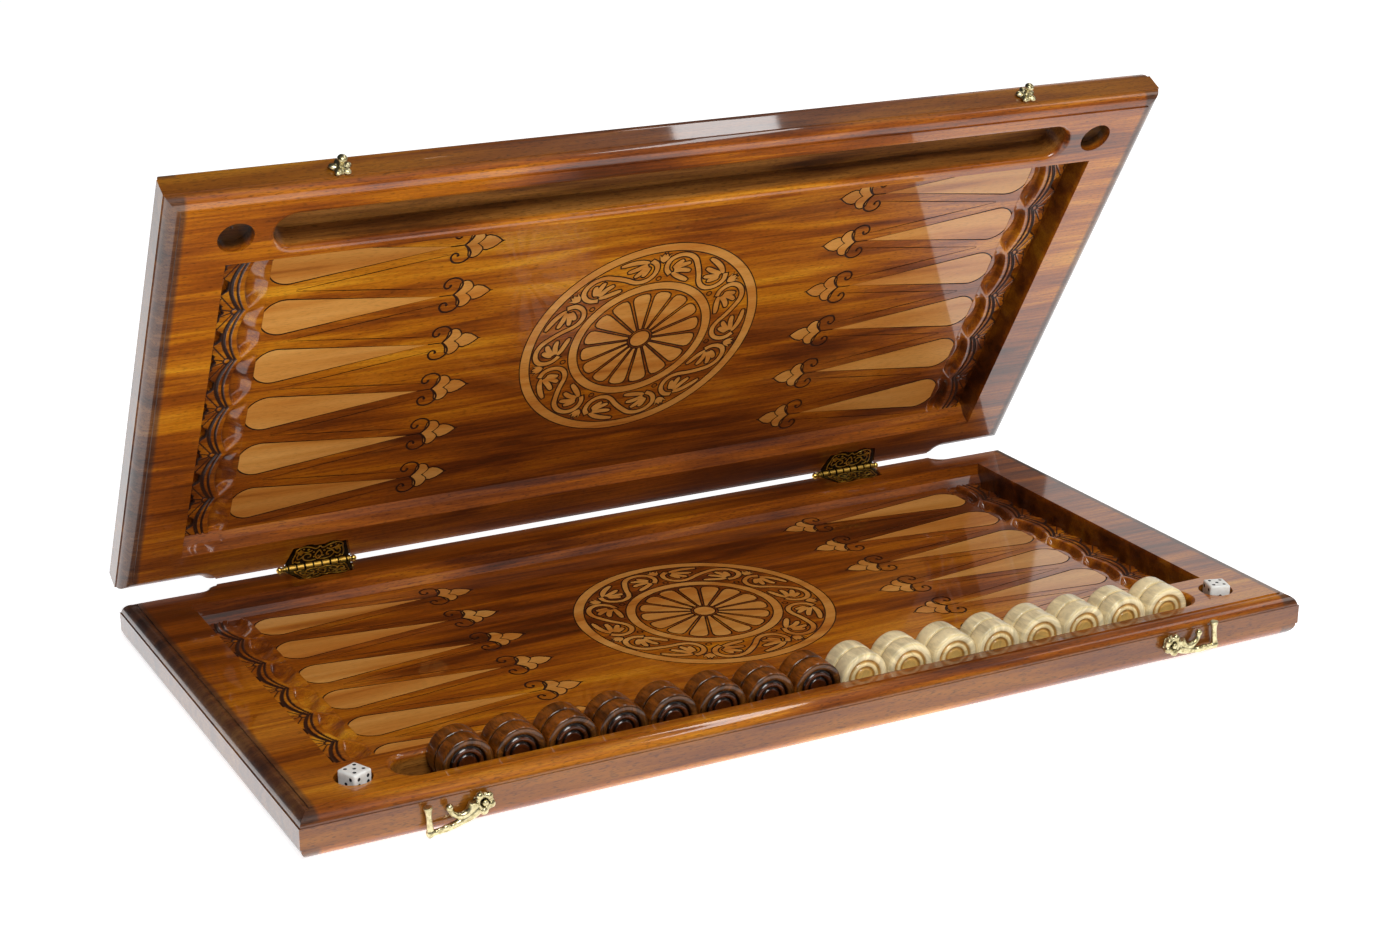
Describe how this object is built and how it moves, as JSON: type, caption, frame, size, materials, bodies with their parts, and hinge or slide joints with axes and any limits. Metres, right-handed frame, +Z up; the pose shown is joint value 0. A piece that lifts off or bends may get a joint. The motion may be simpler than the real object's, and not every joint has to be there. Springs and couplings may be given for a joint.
{
  "type": "folding backgammon board",
  "caption": "Folding carved-wood backgammon board on two butt hinges, with swan-neck latches, a sunk playing field in each half, and draughtsmen and dice in the lower half.",
  "frame": {"origin": "centre of the lower half's underside", "axes": "+X along the hinge line, +Y from the latches towards the hinges, +Z up from the table"},
  "size_m": [0.6, 0.3279, 0.3],
  "materials": {
    "lacquered_wood": "stained and gloss lacquered",
    "dark_turned_wood": "stained and lacquered",
    "light_turned_wood": "bleached and lacquered",
    "pale_brass": "polished",
    "aged_brass": "antiqued, with bright high spots",
    "bone_plastic": "polished"
  },
  "bodies": {
    "lower_half": {"lower_board": "lacquered_wood", "left_hinge_lower_leaf": "aged_brass", "left_hinge_pin": "aged_brass", "left_latch_pivot": "pale_brass", "right_hinge_lower_leaf": "aged_brass", "right_hinge_pin": "aged_brass", "right_latch_pivot": "pale_brass", "lower_hinge_screws": "aged_brass"},
    "lid": {"lid_board": "lacquered_wood", "left_hinge_lid_leaf": "aged_brass", "left_lid_catch": "pale_brass", "right_hinge_lid_leaf": "aged_brass", "right_lid_catch": "pale_brass", "lid_hinge_screws": "aged_brass"},
    "left_latch": {"left_latch": "pale_brass"},
    "right_latch": {"right_latch": "pale_brass"},
    "left_die": {"left_die": "bone_plastic"},
    "right_die": {"right_die": "bone_plastic"},
    "dark_man_front_1": {"dark_man_front_1": "dark_turned_wood"},
    "dark_man_front_2": {"dark_man_front_2": "dark_turned_wood"},
    "dark_man_front_3": {"dark_man_front_3": "dark_turned_wood"},
    "dark_man_front_4": {"dark_man_front_4": "dark_turned_wood"},
    "dark_man_front_5": {"dark_man_front_5": "dark_turned_wood"},
    "dark_man_front_6": {"dark_man_front_6": "dark_turned_wood"},
    "dark_man_front_7": {"dark_man_front_7": "dark_turned_wood"},
    "dark_man_front_8": {"dark_man_front_8": "dark_turned_wood"},
    "dark_man_back_1": {"dark_man_back_1": "dark_turned_wood"},
    "dark_man_back_2": {"dark_man_back_2": "dark_turned_wood"},
    "dark_man_back_3": {"dark_man_back_3": "dark_turned_wood"},
    "dark_man_back_4": {"dark_man_back_4": "dark_turned_wood"},
    "dark_man_back_5": {"dark_man_back_5": "dark_turned_wood"},
    "dark_man_back_6": {"dark_man_back_6": "dark_turned_wood"},
    "dark_man_back_7": {"dark_man_back_7": "dark_turned_wood"},
    "dark_man_back_8": {"dark_man_back_8": "dark_turned_wood"},
    "light_man_front_1": {"light_man_front_1": "light_turned_wood"},
    "light_man_front_2": {"light_man_front_2": "light_turned_wood"},
    "light_man_front_3": {"light_man_front_3": "light_turned_wood"},
    "light_man_front_4": {"light_man_front_4": "light_turned_wood"},
    "light_man_front_5": {"light_man_front_5": "light_turned_wood"},
    "light_man_front_6": {"light_man_front_6": "light_turned_wood"},
    "light_man_front_7": {"light_man_front_7": "light_turned_wood"},
    "light_man_front_8": {"light_man_front_8": "light_turned_wood"},
    "light_man_back_1": {"light_man_back_1": "light_turned_wood"},
    "light_man_back_2": {"light_man_back_2": "light_turned_wood"},
    "light_man_back_3": {"light_man_back_3": "light_turned_wood"},
    "light_man_back_4": {"light_man_back_4": "light_turned_wood"},
    "light_man_back_5": {"light_man_back_5": "light_turned_wood"},
    "light_man_back_6": {"light_man_back_6": "light_turned_wood"},
    "light_man_back_7": {"light_man_back_7": "light_turned_wood"},
    "light_man_back_8": {"light_man_back_8": "light_turned_wood"}
  },
  "joints": [
    {"name": "lid_hinge", "type": "hinge", "parent": "lower_half", "child": "lid", "pos_m": [0, 0.1514, 0.02515], "axis": [-1, 0, 0], "range_deg": [-60, 120]},
    {"name": "left_latch_turn", "type": "hinge", "parent": "lower_half", "child": "left_latch", "pos_m": [-0.2075, -0.1486, 0.0132], "axis": [0, 1, 0], "range_deg": [0, 90]},
    {"name": "right_latch_turn", "type": "hinge", "parent": "lower_half", "child": "right_latch", "pos_m": [0.2075, -0.1486, 0.0132], "axis": [0, -1, 0], "range_deg": [-10, 80]},
    {"name": "left_die_lift", "type": "slide", "parent": "lower_half", "child": "left_die", "axis": [0, 0, 1], "range_m": [0, 0.05]},
    {"name": "right_die_lift", "type": "slide", "parent": "lower_half", "child": "right_die", "axis": [0, 0, 1], "range_m": [0, 0.05]},
    {"name": "dark_man_front_1_lift", "type": "slide", "parent": "lower_half", "child": "dark_man_front_1", "axis": [0, 0, 1], "range_m": [0, 0.05]},
    {"name": "dark_man_front_2_lift", "type": "slide", "parent": "lower_half", "child": "dark_man_front_2", "axis": [0, 0, 1], "range_m": [0, 0.05]},
    {"name": "dark_man_front_3_lift", "type": "slide", "parent": "lower_half", "child": "dark_man_front_3", "axis": [0, 0, 1], "range_m": [0, 0.05]},
    {"name": "dark_man_front_4_lift", "type": "slide", "parent": "lower_half", "child": "dark_man_front_4", "axis": [0, 0, 1], "range_m": [0, 0.05]},
    {"name": "dark_man_front_5_lift", "type": "slide", "parent": "lower_half", "child": "dark_man_front_5", "axis": [0, 0, 1], "range_m": [0, 0.05]},
    {"name": "dark_man_front_6_lift", "type": "slide", "parent": "lower_half", "child": "dark_man_front_6", "axis": [0, 0, 1], "range_m": [0, 0.05]},
    {"name": "dark_man_front_7_lift", "type": "slide", "parent": "lower_half", "child": "dark_man_front_7", "axis": [0, 0, 1], "range_m": [0, 0.05]},
    {"name": "dark_man_front_8_lift", "type": "slide", "parent": "lower_half", "child": "dark_man_front_8", "axis": [0, 0, 1], "range_m": [0, 0.05]},
    {"name": "dark_man_back_1_lift", "type": "slide", "parent": "lower_half", "child": "dark_man_back_1", "axis": [0, 0, 1], "range_m": [0, 0.05]},
    {"name": "dark_man_back_2_lift", "type": "slide", "parent": "lower_half", "child": "dark_man_back_2", "axis": [0, 0, 1], "range_m": [0, 0.05]},
    {"name": "dark_man_back_3_lift", "type": "slide", "parent": "lower_half", "child": "dark_man_back_3", "axis": [0, 0, 1], "range_m": [0, 0.05]},
    {"name": "dark_man_back_4_lift", "type": "slide", "parent": "lower_half", "child": "dark_man_back_4", "axis": [0, 0, 1], "range_m": [0, 0.05]},
    {"name": "dark_man_back_5_lift", "type": "slide", "parent": "lower_half", "child": "dark_man_back_5", "axis": [0, 0, 1], "range_m": [0, 0.05]},
    {"name": "dark_man_back_6_lift", "type": "slide", "parent": "lower_half", "child": "dark_man_back_6", "axis": [0, 0, 1], "range_m": [0, 0.05]},
    {"name": "dark_man_back_7_lift", "type": "slide", "parent": "lower_half", "child": "dark_man_back_7", "axis": [0, 0, 1], "range_m": [0, 0.05]},
    {"name": "dark_man_back_8_lift", "type": "slide", "parent": "lower_half", "child": "dark_man_back_8", "axis": [0, 0, 1], "range_m": [0, 0.05]},
    {"name": "light_man_front_1_lift", "type": "slide", "parent": "lower_half", "child": "light_man_front_1", "axis": [0, 0, 1], "range_m": [0, 0.05]},
    {"name": "light_man_front_2_lift", "type": "slide", "parent": "lower_half", "child": "light_man_front_2", "axis": [0, 0, 1], "range_m": [0, 0.05]},
    {"name": "light_man_front_3_lift", "type": "slide", "parent": "lower_half", "child": "light_man_front_3", "axis": [0, 0, 1], "range_m": [0, 0.05]},
    {"name": "light_man_front_4_lift", "type": "slide", "parent": "lower_half", "child": "light_man_front_4", "axis": [0, 0, 1], "range_m": [0, 0.05]},
    {"name": "light_man_front_5_lift", "type": "slide", "parent": "lower_half", "child": "light_man_front_5", "axis": [0, 0, 1], "range_m": [0, 0.05]},
    {"name": "light_man_front_6_lift", "type": "slide", "parent": "lower_half", "child": "light_man_front_6", "axis": [0, 0, 1], "range_m": [0, 0.05]},
    {"name": "light_man_front_7_lift", "type": "slide", "parent": "lower_half", "child": "light_man_front_7", "axis": [0, 0, 1], "range_m": [0, 0.05]},
    {"name": "light_man_front_8_lift", "type": "slide", "parent": "lower_half", "child": "light_man_front_8", "axis": [0, 0, 1], "range_m": [0, 0.05]},
    {"name": "light_man_back_1_lift", "type": "slide", "parent": "lower_half", "child": "light_man_back_1", "axis": [0, 0, 1], "range_m": [0, 0.05]},
    {"name": "light_man_back_2_lift", "type": "slide", "parent": "lower_half", "child": "light_man_back_2", "axis": [0, 0, 1], "range_m": [0, 0.05]},
    {"name": "light_man_back_3_lift", "type": "slide", "parent": "lower_half", "child": "light_man_back_3", "axis": [0, 0, 1], "range_m": [0, 0.05]},
    {"name": "light_man_back_4_lift", "type": "slide", "parent": "lower_half", "child": "light_man_back_4", "axis": [0, 0, 1], "range_m": [0, 0.05]},
    {"name": "light_man_back_5_lift", "type": "slide", "parent": "lower_half", "child": "light_man_back_5", "axis": [0, 0, 1], "range_m": [0, 0.05]},
    {"name": "light_man_back_6_lift", "type": "slide", "parent": "lower_half", "child": "light_man_back_6", "axis": [0, 0, 1], "range_m": [0, 0.05]},
    {"name": "light_man_back_7_lift", "type": "slide", "parent": "lower_half", "child": "light_man_back_7", "axis": [0, 0, 1], "range_m": [0, 0.05]},
    {"name": "light_man_back_8_lift", "type": "slide", "parent": "lower_half", "child": "light_man_back_8", "axis": [0, 0, 1], "range_m": [0, 0.05]}
  ]
}
